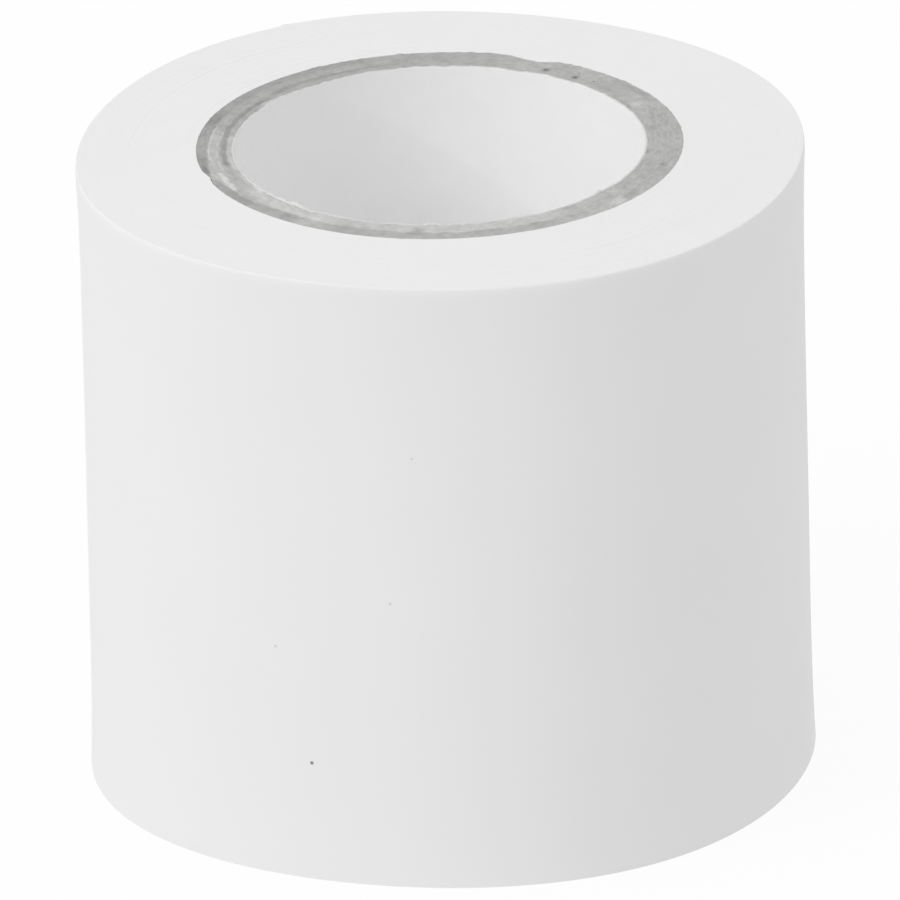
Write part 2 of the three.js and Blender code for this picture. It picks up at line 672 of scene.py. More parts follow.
@dataclass
class TapeWinding:
    """The film, one unbroken spiral from the core to the free end, in three pieces.

    Attributes:
        peel_angle: Angle of the line where the free end peels off.
        peel_radius: Radius of the film's outer face at that line.
        core_radius: Radius that the first turn is wound on.
        height: Width of the film, which is the roll's height.
        pitch: What the outer face gains in a turn.
        film: Thickness of the film with its adhesive.
        tail: Length of the free end.
        overlap: Length of the free end past the start of the outermost turn.
        coning: How much further up the innermost turn lies than the outermost one.
        flares: Radius that the burr of slitting adds to the roll's outside at its lower and its upper edge.
        flare_power: Power of the distance from the film's middle by which the burr grows.
        waves: Crests in a turn, height, and angle of a crest in degrees, of each wave by which the roll's
            outside is out of round.
        shoulder_in: Depth to which handling has rounded the outside's upper edge.
        shoulder_down: Height of that rounding.
        bedded: How far the adhesive of the outermost layer sinks into the turn below it.
        lap: Length over which the outermost turn comes out of the turn before it.
        lap_depth: Depth from which it comes.
        lift: How far the cut end stands off the roll.
        lift_length: Length of the free end that lifts.
        nick: Height and length of the waves of the cut end.
        nick_length: Length of the free end that follows them.
        bend: Length over which a lifted end would bend; not used.
        edge_break: Width of the broken edge of each turn.
        turn_wander: Height, and length in radians, of the waves of a turn's edge along the axis.
        pack_wander: Height, and length in turns, of the waves from turn to turn.
        face_wave: Height and length of the waves of the outermost layer's face.
        dents: First and last angle in degrees, and depth, of each place where the first turns sink in.
        dent_turns: Number of turns in which a dent falls to about a third.
        sections_a_turn: Sections in each turn of the wound pack.
        lap_sections: Sections of its end, under the outermost turn.
        wall_shares: Heights of the points on its faces, as shares of the film's width.
        face_points: Points up each face of the outermost layer.
        turn_step: Largest step between sections of the outermost turn, in degrees.
        tail_step: Largest step between sections of the free end, in degrees.
    """

    peel_angle: float
    peel_radius: float
    core_radius: float
    height: float
    pitch: float = 0.137
    film: float = 0.13
    tail: float = 25.0
    overlap: float = 3.0
    coning: float = 0.38
    flares: tuple[float, float] = (0.2, 0.27)
    flare_power: int = 6
    waves: tuple[tuple[int, float, float], ...] = ((2, 0.093, 145.4), (3, 0.098, 87.3), (4, 0.307, 28.4))
    shoulder_in: float = 0.14
    shoulder_down: float = 1.0
    bedded: float = 0.03
    lap: float = 2.0
    lap_depth: float = 0.06
    lift: float = 0.09
    lift_length: float = 2.0
    nick: Wave = (0.03, 3.0)
    nick_length: float = 1.0
    bend: float = 6.0
    edge_break: float = 0.002
    turn_wander: Wave = (0.001, 1.7)
    pack_wander: Wave = (0.003, 6.0)
    face_wave: Wave = (0.006, 24.0)
    dents: tuple[Dent, ...] = ((61.0, 69.0, 0.7), (196.5, 199.5, 0.28))
    dent_turns: float = 4.0
    sections_a_turn: int = 84
    lap_sections: int = 6
    wall_shares: tuple[float, ...] = (0.06, 0.18, 0.82, 0.94)
    face_points: int = 61
    turn_step: float = 0.6
    tail_step: float = 0.25

    @property
    def free_end(self) -> float:
        """Angle of the cut end."""
        return self.peel_angle + self.tail / self.peel_radius

    @property
    def outer_start(self) -> float:
        """Angle at which the outermost turn starts."""
        return self.free_end - self.overlap / self.peel_radius - TURN

    def face(self, angle: Array) -> Array:
        """Radius of the film's outer face: it gains one pitch a turn, and passes through the peel line."""
        return self.peel_radius + self.pitch * (angle - self.peel_angle) / TURN

    def raised(self, radius: Array) -> Array:
        """How far the winding's coning raises a turn of some radius."""
        share = (self.peel_radius - radius) / (self.peel_radius - self.core_radius)
        return self.coning * np.clip(share, 0.0, 1.0)

    def pressed(self, angle: Array, radius: Array, height: Array) -> Array:
        """Radius that the burr and the roll's waves add, in proportion to the distance from the core.

        The burr grows towards both edges of the film, with a power of the distance from its middle, and each
        wave is a cosine of the angle.

        Args:
            angle: Angles of the points.
            radius: Their radii on an even roll.
            height: Their heights.

        Returns:
            What each radius gains.
        """
        turned_on = (radius - self.core_radius) / (self.peel_radius - self.core_radius)
        from_middle = 2.0 * height / self.height - 1.0
        burr = np.where(from_middle < 0.0, *self.flares) * from_middle**self.flare_power
        waved = sum(tall * np.cos(crests * (angle - math.radians(at))) for crests, tall, at in self.waves)
        return np.clip(turned_on, 0.0, 1.0) * (burr + waved)

    def outside(self, angle: float, height: float) -> float:
        """Radius of the roll's outside.

        Args:
            angle: Angle round the roll.
            height: Height above its lower end.

        Returns:
            Radius of the outermost turn's outer face there.
        """
        wound = self.peel_angle - (self.peel_angle - angle) % TURN
        radius = self.face(wound)
        return float(radius + self.pressed(wound, radius, height))

    def rounded(self, height: Array) -> Array:
        """Depth that the outside loses at its upper edge: a quarter ellipse."""
        share = np.clip((height - self.height) / self.shoulder_down + 1.0, 0.0, 1.0)
        return self.shoulder_in * (1.0 - np.sqrt(1.0 - share * share))

    def dented(self, angle: Array) -> Array:
        """Radius that the first turns lose where they sink into a seam of the core, less with each turn."""
        turns = np.maximum(0.0, self.face(angle) - self.core_radius) / self.pitch
        return -dent_depth(self.dents, angle) * np.exp(-turns / self.dent_turns)

    def wandering(self, angle: Array) -> Array:
        """How the turns' edges wander along the axis, as wound.

        Args:
            angle: Angles along the winding.

        Returns:
            What the height of each edge gains.
        """
        turn_height, turn_length = self.turn_wander
        pack_height, pack_length = self.pack_wander
        of_turn = turn_height * ripple(Seed.TURN_EDGE, angle[:, None], turn_length)
        return of_turn + pack_height * ripple(Seed.PACK_EDGE, angle[:, None] / TURN, pack_length, 2)

    def wound_turns(self) -> Strip:
        """All turns below the outermost one, and a lap that sinks in under its start.

        Each section is the film's own, from the outer face of the turn below to its own outer face, with
        edges broken by a third of its thickness at most. It starts beside the middle of the lower edge, so
        that a cap's faces join points of equal height.

        Returns:
            The strip, with its slit edges' columns in the second finish.
        """
        first = self.peel_angle - TURN * (self.peel_radius - self.core_radius) / self.pitch
        lap_end = self.outer_start + self.lap / self.peel_radius
        lapped = np.linspace(self.outer_start, lap_end, self.lap_sections)
        angle = np.append(np.arange(first, self.outer_start, TURN / self.sections_a_turn), lapped)
        sunk = self.lap_depth * smooth((angle - self.outer_start) * self.peel_radius / self.lap)
        outer = self.face(angle) + self.dented(angle) - sunk
        inner = np.maximum(self.face(angle - TURN), self.core_radius) + self.dented(angle - TURN)
        nip = np.minimum(self.edge_break, (outer - inner) / 3.0)
        wander = self.wandering(angle)
        middle = np.maximum(self.raised((inner + outer) / 2.0) + wander, 0.0)
        wall = middle[:, None] + self.height * np.array(self.wall_shares)

        def up_face(radius: Array, broken: Array) -> tuple[Array, Array]:
            """Points up one face of the film, from one broken edge to the other.

            Args:
                radius: Radius of the face at each section.
                broken: Radius at which its edges are broken.

            Returns:
                Radii and heights, of sections by points.
            """
            low = np.maximum(self.raised(radius) + wander, 0.0)
            high = low + self.height
            straight = np.repeat(radius[:, None], wall.shape[1] + 2, axis=1)
            heights = np.column_stack([low, low + nip, wall, high - nip, high])
            return np.column_stack([broken, straight, broken]), heights

        outer_radius, outer_height = up_face(outer, outer - nip)
        inner_radius, inner_height = up_face(inner, inner + nip)
        radius = np.concatenate([outer_radius, inner_radius[:, ::-1]], axis=1)
        height = np.concatenate([outer_height, inner_height[:, ::-1]], axis=1)
        points = around_axis(angle[:, None], radius + self.pressed(angle[:, None], radius, height), height)
        finish = np.tile([1, *[0] * (wall.shape[1] + 1), 1, 1], 2).astype(np.int32)
        around = section_lengths(points[len(points) // 2])
        return Strip(points, (angle - first) * self.core_radius, around, finish)

    def outer_layer(self, start: float, end: float, step: float, lifted: bool) -> Strip:
        """A length of the outermost layer, flared by the burr and with a rounded upper edge.

        Heights lie closer together towards the edges, as the cosine of an even angle does. The upper edge is
        square where the free end covers it, and the face waves by a few thousandths of a millimetre.

        Args:
            start: First angle.
            end: Last angle.
            step: Largest step between sections, in degrees.
            lifted: Whether the far end stands off the roll.

        Returns:
            The strip, with its inner face's columns in the second finish.
        """
        angle = np.linspace(start, end, int(math.degrees(end - start) / step) + 2)
        bare = smooth((angle - self.free_end + TURN) * self.peel_radius)[:, None]
        up = self.height * (0.5 - 0.5 * np.cos(np.linspace(0.0, math.pi, self.face_points)))
        outer_depth = bare * self.rounded(up)
        depth = np.concatenate([outer_depth, np.full_like(outer_depth, self.film + self.bedded)], axis=1)
        height = np.broadcast_to(np.concatenate([up, up[::-1]]), depth.shape)
        radius = self.face(angle)[:, None] - depth
        radius = radius + self.pressed(angle[:, None], radius, height)
        wave_height, wave_length = self.face_wave
        even = around_axis(angle[:, None], radius, height)
        radius = radius + wave_height * ripple(Seed.FACE, even, wave_length, 2)
        turned = np.broadcast_to(angle[:, None], radius.shape)
        if lifted:
            to_end = (end - angle) * self.peel_radius
            radius = radius + self.lift * smooth(1.0 - to_end / self.lift_length)[:, None]
            nick_height, nick_length = self.nick
            nick = nick_height * ripple(Seed.CUT_END, height[..., None], nick_length) / self.peel_radius
            turned = turned + nick * smooth(1.0 - to_end / self.nick_length)[:, None]
        else:
            from_start = (angle - start) * self.peel_radius
            radius = radius - self.lap_depth * smooth(1.0 - from_start / self.lap)[:, None]
        points = around_axis(turned, radius, height)
        finish = np.zeros(height.shape[1], dtype=np.int32)
        finish[len(up) : -1] = 1
        return Strip(points, angle * self.peel_radius, section_lengths(points[0]), finish)

    def build(self, film: Material, edge: Material, adhesive: Material) -> None:
        """Make the three pieces, and set the wound turns and the outermost turn on the roll.

        Args:
            film: Finish of the film's outer face.
            edge: Finish of its slit edges.
            adhesive: Finish of its inner face.
        """
        pack = self.wound_turns().piece("wound_turns", [film, edge])
        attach(pack, Body.ROLL.value)
        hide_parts("tape_pack")
        turn = self.outer_layer(self.outer_start, self.peel_angle, self.turn_step, lifted=False)
        outer = turn.piece("outer_turn", [film, adhesive])
        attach(outer, Body.ROLL.value)
        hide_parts("tape_outer_turn")
        loose = self.outer_layer(self.peel_angle, self.free_end, self.tail_step, lifted=True)
        tail = loose.piece("free_end", [film, adhesive])
        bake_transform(tail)
        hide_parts("tape_tail")


@dataclass(frozen=True)
class Mark:
    """A patch of the core's cut end that is paler or darker than the rest, between two angles.

    Attributes:
        angles: First and last angle, in degrees.
        first: Inner and outer radius at the first angle.
        last: Inner and outer radius at the last angle.
        tone: Above nought where bare fibres show, and below it where the end is soiled and where painted
            shade stands for a split's shadow.
        fade: Angle over which each end fades, in degrees.
        soft: Distance over which its inner and outer bounds fade.
    """

    angles: tuple[float, float]
    first: tuple[float, float]
    last: tuple[float, float]
    tone: float
    fade: float = 2.0
    soft: float = 0.12

    def tint(self, angle: Array, radius: Array) -> Array:
        """Tone that the mark adds: full between its two bounds, which run straight in angle and radius.

        Args:
            angle: Angles of the points.
            radius: Their radii.

        Returns:
            The tone at each point.
        """
        start, end = self.angles
        share = degrees_from(angle, (start + end) / 2.0) / (end - start) + 0.5
        inner, outer = (first + (last - first) * share for first, last in zip(self.first, self.last))
        across = smooth((radius - inner) / self.soft + 0.5) * smooth((outer - radius) / self.soft + 0.5)
        return self.tone * across * sector(angle, start, end, self.fade)


@dataclass(frozen=True)
class CutEnd:
    """Tones of the core's upper end: darker bands and spots, partly soiling and partly painted shade for the
    shadow in splits between plies, and bare fibres where plies are split.

    Attributes:
        bands: Marks that run along the plies.
        spots: Angle in degrees, radius, half width along and across the ply, and tone of each small mark.
        ragged: Distance by which fibres carry the marks' bounds to and fro.
        fibre_size: Length of those fibres.
    """

    # Darker bands are partly soiling and partly painted shade: the narrow ones along the joints between plies
    # stand for the shadow in the splits there.
    bands: tuple[Mark, ...] = (
        Mark((-35.0, 66.0), (15.9, 18.9), (15.9, 18.9), -0.22, 15.0),
        Mark((72.0, 166.0), (15.9, 18.9), (15.9, 18.9), -0.5, 18.0),
        Mark((104.0, 140.0), (16.6, 17.1), (16.6, 17.1), -0.5, 10.0),
        Mark((108.0, 162.0), (18.0, 18.9), (18.0, 18.9), -0.45, 10.0),
        Mark((158.0, 187.0), (17.95, 18.9), (17.95, 18.9), -0.75, 8.0),
        Mark((185.0, 197.0), (17.95, 18.9), (18.5, 18.75), -1.0),
        Mark((143.0, 191.0), (16.52, 16.95), (16.52, 16.95), -1.0, 5.0),
        Mark((195.0, 202.0), (16.68, 16.9), (16.72, 16.92), -0.6),
        Mark((199.5, 217.0), (18.1, 18.9), (17.85, 18.9), -0.75),
        Mark((216.0, 232.0), (17.7, 18.9), (17.6, 18.9), -0.45, 3.0),
        Mark((240.0, 250.0), (17.6, 18.9), (17.6, 18.9), -0.4, 4.0),
        Mark((250.0, 302.0), (17.5, 18.9), (17.7, 18.9), -0.25, 10.0),
        Mark((321.0, 327.0), (18.0, 18.8), (17.7, 18.3), -0.5),
        Mark((12.0, 20.0), (16.85, 17.1), (17.35, 17.6), -0.4),
        Mark((26.0, 42.0), (18.05, 18.6), (18.05, 18.6), -0.35, 4.0),
        Mark((164.0, 186.0), (17.72, 17.92), (17.72, 17.92), 0.5, 4.0),
        Mark((182.0, 194.0), (17.12, 17.34), (17.16, 17.36), 0.35, 3.0),
        Mark((170.0, 207.0), (15.8, 16.48), (15.8, 16.4), 0.45, 8.0),
        Mark((195.5, 208.0), (17.36, 17.8), (17.55, 17.95), 0.95),
        Mark((208.0, 302.0), (15.8, 17.45), (15.8, 17.5), 0.5, 8.0),
        Mark((221.0, 241.0), (16.9, 17.6), (16.9, 17.6), 0.3, 4.0),
        Mark((316.5, 321.0), (17.9, 18.7), (17.6, 18.4), 0.6),
        Mark((133.0, 147.0), (15.8, 16.0), (15.8, 16.6), 1.0),
        Mark((203.0, 212.0), (15.8, 16.1), (15.8, 16.5), 0.5),
    )
    # Darker spots are partly soiling and partly painted shade for the shadow in splits between plies.
    spots: tuple[tuple[float, float, float, float, float], ...] = (
        (192.3, 18.53, 0.5, 0.16, -1.0),
        (190.0, 16.7, 0.35, 0.16, -0.8),
        (228.5, 17.85, 0.3, 0.4, -0.6),
        (245.5, 17.4, 0.3, 0.45, -0.6),
        (264.0, 17.2, 0.3, 0.5, -0.7),
        (293.5, 17.7, 0.35, 0.22, -0.6),
        (304.2, 18.0, 0.2, 0.2, -0.5),
        (307.6, 18.0, 0.2, 0.2, -0.5),
        (306.0, 16.4, 0.3, 0.4, -0.5),
        (344.2, 17.85, 0.28, 0.2, -1.1),
        (352.5, 16.15, 0.25, 0.1, -1.0),
        (7.8, 16.6, 0.45, 0.2, -0.6),
        (26.8, 16.3, 0.45, 0.16, -0.6),
        (37.7, 16.7, 0.35, 0.18, -0.6),
        (50.9, 16.85, 0.15, 0.19, -3.4),
        (60.4, 16.92, 0.16, 0.2, -3.4),
        (322.5, 16.9, 0.3, 0.25, 0.6),
        (25.5, 16.9, 0.4, 0.3, 0.5),
    )
    ragged: float = 0.035
    fibre_size: float = 1.5

    def tone(self, places: Array, angle: Array, radius: Array) -> Array:
        """Sum of all marks, with their places carried to and fro by the fibres.

        A spot is a bell curve along and across the ply.

        Args:
            places: Points of a layer.
            angle: Their angles.
            radius: Their radii.

        Returns:
            The tone at each point.
        """
        moved = radius + self.ragged * ripple(Seed.MARK, places, self.fibre_size, 2)
        turned = angle + self.ragged / radius * ripple(Seed.MARK + 1, places, self.fibre_size, 2)
        total = sum(mark.tint(turned, moved) for mark in self.bands)
        for degrees, reach, along, across, tone in self.spots:
            aside = np.radians(degrees_from(turned, degrees)) * reach / along
            total = total + tone * np.exp(-0.5 * aside**2 - 0.5 * ((moved - reach) / across) ** 2)
        return total


@dataclass
class CoreLayer:
    """One layer of the paper core: a strip wound in a right-handed helix, trimmed at both ends of the tube.

    Attributes:
        piece_name: Name of the piece.
        node: Solid that it stands for.
        inner: Radius of its inner face.
        thickness: Thickness of the paper, with the glue on it.
        seam: Angle of its seam at the upper end, in degrees.
        height: Length of the tube.
        raised: How far the tube stands above the solid.
        slot: Material slot in the record.
        pitch: What the strip climbs in a turn.
        gap: Width of its seam along the tube.
        tip: Height left at the strip's trimmed points.
        fray: Height of the roughness of its cut ends.
        fray_sizes: Sizes of that roughness, fine and coarse.
        fray_depth: Depth in which the roughness falls to about a third.
        stain_and_shade_depth: Depth in which the marks of the cut end fall to about a third.
        rounding: Radius of its edges at the cut ends.
        crease: Angle between faces, in degrees, past which their edge stays sharp.
        rows: Number of sections along the strip, without its bends.
        across: Number of points across a cut end, without its edges.
        depths: Distances from both edges of the strip at which its faces have points.
        room: Least height of a section, as a multiple of the last depth, before the depths shrink.
    """

    piece_name: str
    node: str
    inner: float
    thickness: float
    seam: float
    height: float
    raised: float
    slot: Slot
    pitch: float = 65.0
    gap: float = 0.0
    tip: float = 0.002
    fray: float = 0.018
    fray_sizes: tuple[float, float] = (0.8, 3.0)
    fray_depth: float = 0.3
    stain_and_shade_depth: float = 2.0
    rounding: float = 0.02
    crease: float = 60.0
    rows: int = 1200
    across: int = 12
    depths: tuple[float, ...] = (0.0, 0.05, 0.14, 0.35, 0.9, 2.4)
    room: float = 2.2

    @property
    def up_face(self) -> int:
        """Number of points up each face of the strip."""
        return 2 * len(self.depths)

    @property
    def foot(self) -> float:
        """Angle at which the strip's lower edge leaves the tube's lower end."""
        return math.radians(self.seam) - self.height * TURN / self.pitch

    def sections(self) -> tuple[Array, Array, Array, Array, Array]:
        """Angles, radii and heights of the strip before its ends are frayed.

        The lower edge climbs one pitch a turn, the upper edge stays a pitch less the seam above it, and both
        are cut off at the tube's ends, with a section at each bend. Points lie closer together towards the
        edges.

        Returns:
            Angle, radius, height, depth below the upper end and height above the lower end, of rows by
            section points. A depth is far where the strip's edge isn't at that end of the tube.
        """
        far, touching = 1000.0, 1e-6
        rise = self.pitch / TURN
        width = self.pitch - self.gap
        first, last = self.foot + (self.tip - width) / rise, self.foot + (self.height - self.tip) / rise
        bends = [self.foot, self.foot + (self.height - width) / rise]
        angle = np.sort(np.concatenate([np.linspace(first, last, self.rows), bends]))[:, None]
        lower = (angle - self.foot) * rise
        low, high = np.maximum(0.0, lower), np.minimum(self.height, lower + width)
        depths = np.array(self.depths)
        scale = np.minimum(1.0, (high - low) / (self.room * depths[-1]))
        wall = np.concatenate([low + depths * scale, high - depths[::-1] * scale], axis=1)
        top, bottom = (np.repeat(edge, self.across, axis=1) for edge in (high, low))
        height = np.concatenate([wall, top, wall[:, ::-1], bottom], axis=1)
        inward = np.linspace(1.0, 0.0, self.across + 2)[1:-1]
        share = np.concatenate([np.ones(self.up_face), inward, np.zeros(self.up_face), inward[::-1]])
        radius = self.inner + self.thickness * np.broadcast_to(share, height.shape)
        below_top = high - height + np.where(high < self.height - touching, far, 0.0)
        above_bottom = height - low + np.where(low > touching, far, 0.0)
        return np.broadcast_to(angle, height.shape), radius, height, below_top, above_bottom

    def frayed(self, places: Array, radius: Array, depth: Array, seed: int) -> Array:
        """Height that a cut end gains: rough fibres across all layers, less the rounding of this one's edges.

        Args:
            places: Points of the layer.
            radius: Their radii.
            depth: Their distances from the cut end.
            seed: Seed of the roughness.

        Returns:
            What each height gains.
        """
        fine, coarse = self.fray_sizes
        rough = self.fray * (ripple(seed, places, fine, 3) + ripple(seed + 1, places, coarse, 2))
        to_edge = np.minimum(radius - self.inner, self.inner + self.thickness - radius)
        rounded = self.rounding * np.exp(-to_edge / self.rounding)
        return (rough - rounded) * np.exp(-depth / self.fray_depth)

    def shaped(self, angle: Array, radius: Array, height: Array, below_top: Array) -> tuple[Array, Array]:
        """Radius and height after what happens to this layer alone: nothing on a plain one."""
        return radius, height

    def columns(self) -> NDArray[np.int32]:
        """Finish of each column of faces: the first one all round on a plain layer."""
        return np.zeros(2 * (self.up_face + self.across), dtype=np.int32)

    def strip(self) -> Strip:
        """Shape the whole layer.

        Returns:
            The strip with frayed ends, and the marks of the upper one as a shade.
        """
        angle, radius, height, below_top, above_bottom = self.sections()
        places = around_axis(angle, radius, height)
        gain = self.frayed(places, radius, below_top, Seed.FRAY_ABOVE)
        loss = self.frayed(places, radius, above_bottom, Seed.FRAY_BELOW)
        # The tone is darker where the end is soiled and where painted shade stands for the shadow in splits
        # between plies, and paler where bare fibres show.
        tone = CutEnd().tone(places, angle, radius) * np.exp(-below_top / self.stain_and_shade_depth)
        radius, height = self.shaped(angle, radius, height, below_top)
        points = around_axis(angle, radius, height + gain - loss + self.raised)
        around = section_lengths(points[len(points) // 2])
        return Strip(points, angle[:, 0] * self.inner, around, self.columns(), {TONE: tone})

    def build(self, finishes: list[Material]) -> None:
        """Make the layer's piece and set it on the roll.

        Args:
            finishes: Materials that its columns count.
        """
        piece = self.strip().piece(self.piece_name, finishes, self.crease)
        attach(piece, Body.ROLL.value)
        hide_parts(self.node)


@dataclass
class OuterPly(CoreLayer):
    """The ply under the tape, pressed in beside the seams.

    Attributes:
        dents: First and last angle in degrees, and depth, of each place that is pressed in.
    """

    dents: tuple[Dent, ...] = ((61.0, 69.0, 0.72), (196.5, 199.5, 0.3))

    def shaped(self, angle: Array, radius: Array, height: Array, below_top: Array) -> tuple[Array, Array]:
        """Press the outer face in where the first turns of tape sink into a seam."""
        outwards = (radius - self.inner) / self.thickness
        return radius - dent_depth(self.dents, angle) * smooth(outwards), height


@dataclass
class Liner(CoreLayer):
    """The white lining of the bore, with an overlapped seam and an upper edge that is torn up in front.

    Attributes:
        flakes: First angle, last angle and easing, in degrees, and height of each flake that is torn up.
        torn: Mean and largest share of its height that a flake keeps.
        tears: Height, as such a share, and length of the coarse and the fine waves of a flake's edge.
        proud: Height of the rest of the edge above the cut end.
        proud_wave: Height and length of the waves of that edge.
        bent: Depth in which the edge's rise falls to about a third.
        lean: Distance that the edge leans out, as a share of its rise.
        step: Depth of the step at the overlapped seam.
        step_length: Height over which the step eases.
    """

    flakes: tuple[tuple[float, float, float, float], ...] = (
        (205.0, 211.0, 3.0, 0.2),
        (215.0, 229.0, 5.0, 0.24),
        (266.0, 270.0, 3.0, 0.16),
        (318.0, 320.5, 2.0, 0.18),
    )
    torn: tuple[float, float] = (0.55, 1.3)
    tears: tuple[Wave, Wave] = ((0.4, 2.6), (0.25, 0.8))
    proud: float = 0.02
    proud_wave: Wave = (0.01, 2.0)
    bent: float = 0.35
    lean: float = 0.4
    step: float = 0.04
    step_length: float = 1.1

    def shaped(self, angle: Array, radius: Array, height: Array, below_top: Array) -> tuple[Array, Array]:
        """Draw ragged flakes up out of the edge, lean them out, and step the lining at its overlap.

        Args:
            angle: Angles of the points.
            radius: Their radii.
            height: Their heights.
            below_top: Their depths below the upper end.

        Returns:
            The new radii and heights.
        """
        edge = around_axis(angle, np.full_like(radius, self.inner), np.zeros_like(radius))
        mean, most = self.torn
        (coarse, coarse_size), (fine, fine_size) = self.tears
        ragged = mean + coarse * ripple(Seed.TEAR, edge, coarse_size, 2)
        ragged = np.clip(ragged + fine * ripple(Seed.TEAR + 1, edge, fine_size, 2), 0.0, most)
        flake = sum(tall * sector(angle, start, end, ease) for start, end, ease, tall in self.flakes)
        wave_height, wave_length = self.proud_wave
        rise = self.proud + wave_height * ripple(Seed.LINER_EDGE, edge, wave_length) + flake * ragged
        rise = rise * np.exp(-below_top / self.bent)
        above_seam = height - (angle - self.foot) * self.pitch / TURN
        to_seam = np.minimum(above_seam, self.pitch - self.gap - above_seam)
        stepped = self.step * smooth(1.0 - to_seam / self.step_length)
        return radius + self.lean * rise - stepped, height + rise

    def columns(self) -> NDArray[np.int32]:
        """Finish of each column of faces.

        Returns:
            The second finish on the cut ends, and the first on the faces.
        """
        finish = super().columns()
        finish[self.up_face - 1 : self.up_face + self.across] = 1
        finish[2 * self.up_face + self.across - 1 :] = 1
        return finish


@dataclass
class PaperCore:
    """The tube of liner and plies.

    Attributes:
        height: Length of the tube.
        raised: How far it stands above the solids.
        glue: Thickness of the glue on the outside of a layer.
        liner_paper: Thickness of the lining.
        board: Thickness of a ply.
    """

    height: float
    raised: float
    glue: float = 0.05
    liner_paper: float = 0.12
    board: float = 0.88

    def layers(self) -> list[CoreLayer]:
        """The layers from the bore outwards, each where its solid is, out to the next one.

        Returns:
            The layers, with the angle of each seam at the upper end in degrees.
        """
        rows = [
            (Liner, "liner", "core_liner", self.liner_paper, 128.0, Slot.LINER),
            (CoreLayer, "inner_ply", "core_ply_1", self.board, 300.0, Slot.BOARD),
            (CoreLayer, "middle_ply", "core_ply_2", self.board, 200.0, Slot.BOARD),
            (OuterPly, "outer_ply", "core_ply_3", self.board, 64.0, Slot.BOARD),
        ]
        made = []
        for kind, piece, node, paper, seam, slot in rows:
            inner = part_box(node)[1].x / MM - paper
            made.append(kind(piece, node, inner, paper + self.glue, seam, self.height, self.raised, slot))
        return made

    def build(self) -> None:
        """Make and dress the layers."""
        cut_edge = LinerPaper(name="kraft_paper_cut_edge", pale="#D8D8D7", cloudy="#C8C8C7")
        paper = [LinerPaper().material(), cut_edge.material()]
        board = [Chipboard().material()]
        for layer in self.layers():
            layer.build(paper if layer.slot is Slot.LINER else board)


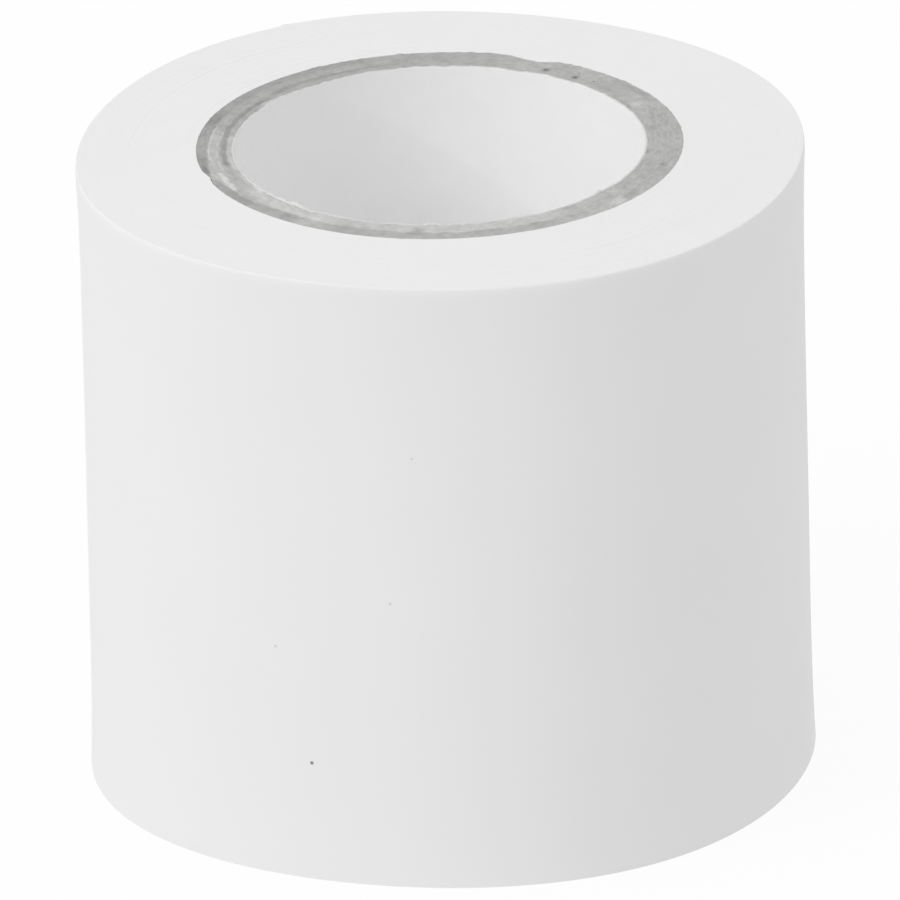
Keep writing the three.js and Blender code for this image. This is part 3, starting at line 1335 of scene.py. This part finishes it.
@dataclass
class Studio:
    """Floor, light and camera.

    Attributes:
        centre: Middle of the roll, in millimetres.
        pixels: Side of the square picture.
        pixels_a_mm: Scale of the picture at the roll.
        elevation: Camera's height above the horizon, in degrees.
        roll: Turn of the camera about its own axis, in degrees.
        lens: Focal length, long because the picture has hardly any perspective.
        sensor: Width of the sensor.
        clip: Nearest and furthest distance that the camera sees, in metres.
        roll_centre: Pixel where the middle of the roll lies.
        key_azimuth: Angle of the key light to the left of the camera, in degrees.
        key_elevation: Height of the key light above the horizon, in degrees.
        key_strength: Light that the key adds, where one renders a white surface white.
        key_softness: Angle across the key light, in degrees.
        fill_strength: Light from the horizon.
        overhead_strength: Light that the sky gains from the horizon to straight above.
        table_strength: Light that comes up through the table.
        table_colour: Colour of the table's own surface.
        shadow_share: Share of the table's look that is its own lit and shaded surface.
        floor_half: Half the table's side.
        floor_drop: Distance of the table below the roll.
    """

    centre: Vector
    pixels: int = 900
    pixels_a_mm: float = 12.908
    elevation: float = 22.98
    roll: float = -1.31
    lens: float = 1500.0
    sensor: float = 36.0
    clip: tuple[float, float] = (0.1, 20.0)
    roll_centre: tuple[float, float] = (446.65, 447.6)
    key_azimuth: float = 60.0
    key_elevation: float = 35.0
    key_strength: float = 0.26
    key_softness: float = 30.0
    fill_strength: float = 0.5
    overhead_strength: float = 0.59
    table_strength: float = 0.8
    table_colour: str = "#F2F2F2"
    shadow_share: float = 0.1
    floor_half: float = 3000.0
    floor_drop: float = 0.01

    def build(self) -> None:
        """Make the floor, the light and the camera."""
        self.lay_floor()
        self.light()
        self.set_camera()

    def lay_floor(self) -> None:
        """A pale light table just under the roll, white to the camera, which keeps a share of its shadow."""
        half, level = self.floor_half * MM, -self.floor_drop * MM
        corners = [(-half, -half, level), (half, -half, level), (half, half, level), (-half, half, level)]
        mesh = bpy.data.meshes.new("floor")
        mesh.from_pydata(corners, [], [(0, 1, 2, 3)])
        material, tree = empty_material("floor_light_table")
        strength = {"To Min": self.table_strength, "To Max": 1.0}
        level_of_light = add_node(tree, "ShaderNodeMapRange", {"Value": seen(tree)}, strength)
        glow = add_node(tree, "ShaderNodeEmission", {"Strength": level_of_light.outputs["Result"]})
        card = add_node(tree, "ShaderNodeBsdfDiffuse", values={"Color": linear(self.table_colour)})
        surface = add_node(
            tree,
            "ShaderNodeMixShader",
            {1: glow.outputs["Emission"], 2: card.outputs["BSDF"]},
            {0: self.shadow_share},
        )
        add_node(tree, "ShaderNodeOutputMaterial", {"Surface": surface.outputs["Shader"]})
        mesh.materials.append(material)
        link("floor", mesh)

    def light(self) -> None:
        """A soft key from the front left, and a sky brighter overhead, which the camera sees as white."""
        sun = bpy.data.lights.new("key", "SUN")
        sun.energy = self.key_strength * math.pi
        sun.angle = math.radians(self.key_softness)
        lamp = link("key", sun)
        lamp.rotation_mode = "QUATERNION"
        shining = -self.towards(-self.key_azimuth, self.key_elevation)
        lamp.rotation_quaternion = shining.to_track_quat("-Z", "Y")
        world = bpy.data.worlds.new("studio")
        world.use_nodes = True
        tree = world.node_tree
        tree.nodes.clear()
        heading = add_node(tree, "ShaderNodeTexCoord").outputs["Generated"]
        upward = add_node(tree, "ShaderNodeSeparateXYZ", {"Vector": heading})
        sky = add_node(
            tree,
            "ShaderNodeMapRange",
            {"Value": upward.outputs["Z"]},
            {"To Min": self.fill_strength, "To Max": self.fill_strength + self.overhead_strength},
        )
        white_light = {"Color": linear("#FFFFFF")}
        fill = add_node(tree, "ShaderNodeBackground", {"Strength": sky.outputs["Result"]}, white_light)
        white = add_node(tree, "ShaderNodeBackground", values={**white_light, "Strength": 1.0})
        mixed = add_node(
            tree,
            "ShaderNodeMixShader",
            {0: seen(tree), 1: fill.outputs["Background"], 2: white.outputs["Background"]},
        )
        add_node(tree, "ShaderNodeOutputWorld", {"Surface": mixed.outputs["Shader"]})
        bpy.context.scene.world = world

    @staticmethod
    def towards(azimuth: float, elevation: float) -> Vector:
        """Direction to a place at an azimuth, to the camera's right, and an elevation, in degrees."""
        across, up = math.radians(azimuth), math.radians(elevation)
        return Vector((math.sin(across) * math.cos(up), -math.cos(across) * math.cos(up), math.sin(up)))

    def set_camera(self) -> None:
        """A far camera at the picture's angle, aimed so that the roll lies where the picture has it."""
        data = bpy.data.cameras.new("camera")
        data.lens = self.lens
        data.sensor_width = self.sensor
        data.clip_start, data.clip_end = self.clip
        camera = link("camera", data)
        back = self.towards(0.0, self.elevation)
        right = Vector((1.0, 0.0, 0.0))
        up = back.cross(right)
        tilt = math.radians(self.roll)
        across = right * math.cos(tilt) + up * math.sin(tilt)
        upright = up * math.cos(tilt) - right * math.sin(tilt)
        distance = self.lens / self.sensor * self.pixels / self.pixels_a_mm
        aside = (self.pixels / 2.0 - self.roll_centre[0]) / self.pixels_a_mm
        above = (self.roll_centre[1] - self.pixels / 2.0) / self.pixels_a_mm
        place = self.centre + back * distance + across * aside + upright * above
        turned = Matrix((across, upright, back)).transposed().to_4x4()
        camera.matrix_world = Matrix.Translation(place * MM) @ turned
        bpy.context.scene.camera = camera


def seen(tree: Tree) -> Socket:
    """Tell the rays by which the camera sees a surface: straight, mirrored or through glass.

    Args:
        tree: Node tree of the floor or the world.

    Returns:
        One for such a ray, and nought for others.
    """
    path = add_node(tree, "ShaderNodeLightPath").outputs
    share = path["Is Camera Ray"]
    for ray in ("Is Glossy Ray", "Is Transmission Ray"):
        either = add_node(tree, "ShaderNodeMath", {0: share, 1: path[ray]}, operation="MAXIMUM")
        share = either.outputs["Value"]
    return share


def main() -> None:
    """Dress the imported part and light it."""
    logging.basicConfig(level=logging.INFO, format="%(name)s: %(message)s")
    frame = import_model()
    bpy.context.scene.view_settings.view_transform = "Standard"

    low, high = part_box("tape_pack")
    height = (high.z - low.z) / MM
    hinge_x, hinge_y, _ = frame["joints"][0]["pos_m"]
    winding = TapeWinding(
        peel_angle=math.atan2(hinge_y, hinge_x),
        peel_radius=math.hypot(hinge_x, hinge_y) / MM,
        core_radius=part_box("core_ply_3")[1].x / MM + PaperCore.glue,
        height=height,
    )
    film = CalenderedPvc().material(winding.outside)
    winding.build(film, SlitEdge().material(), RubberAdhesive().material())
    PaperCore(height=height, raised=winding.coning).build()
    Studio(centre=Vector((0.0, 0.0, height / 2.0))).build()


if __name__ == "__main__":
    main()
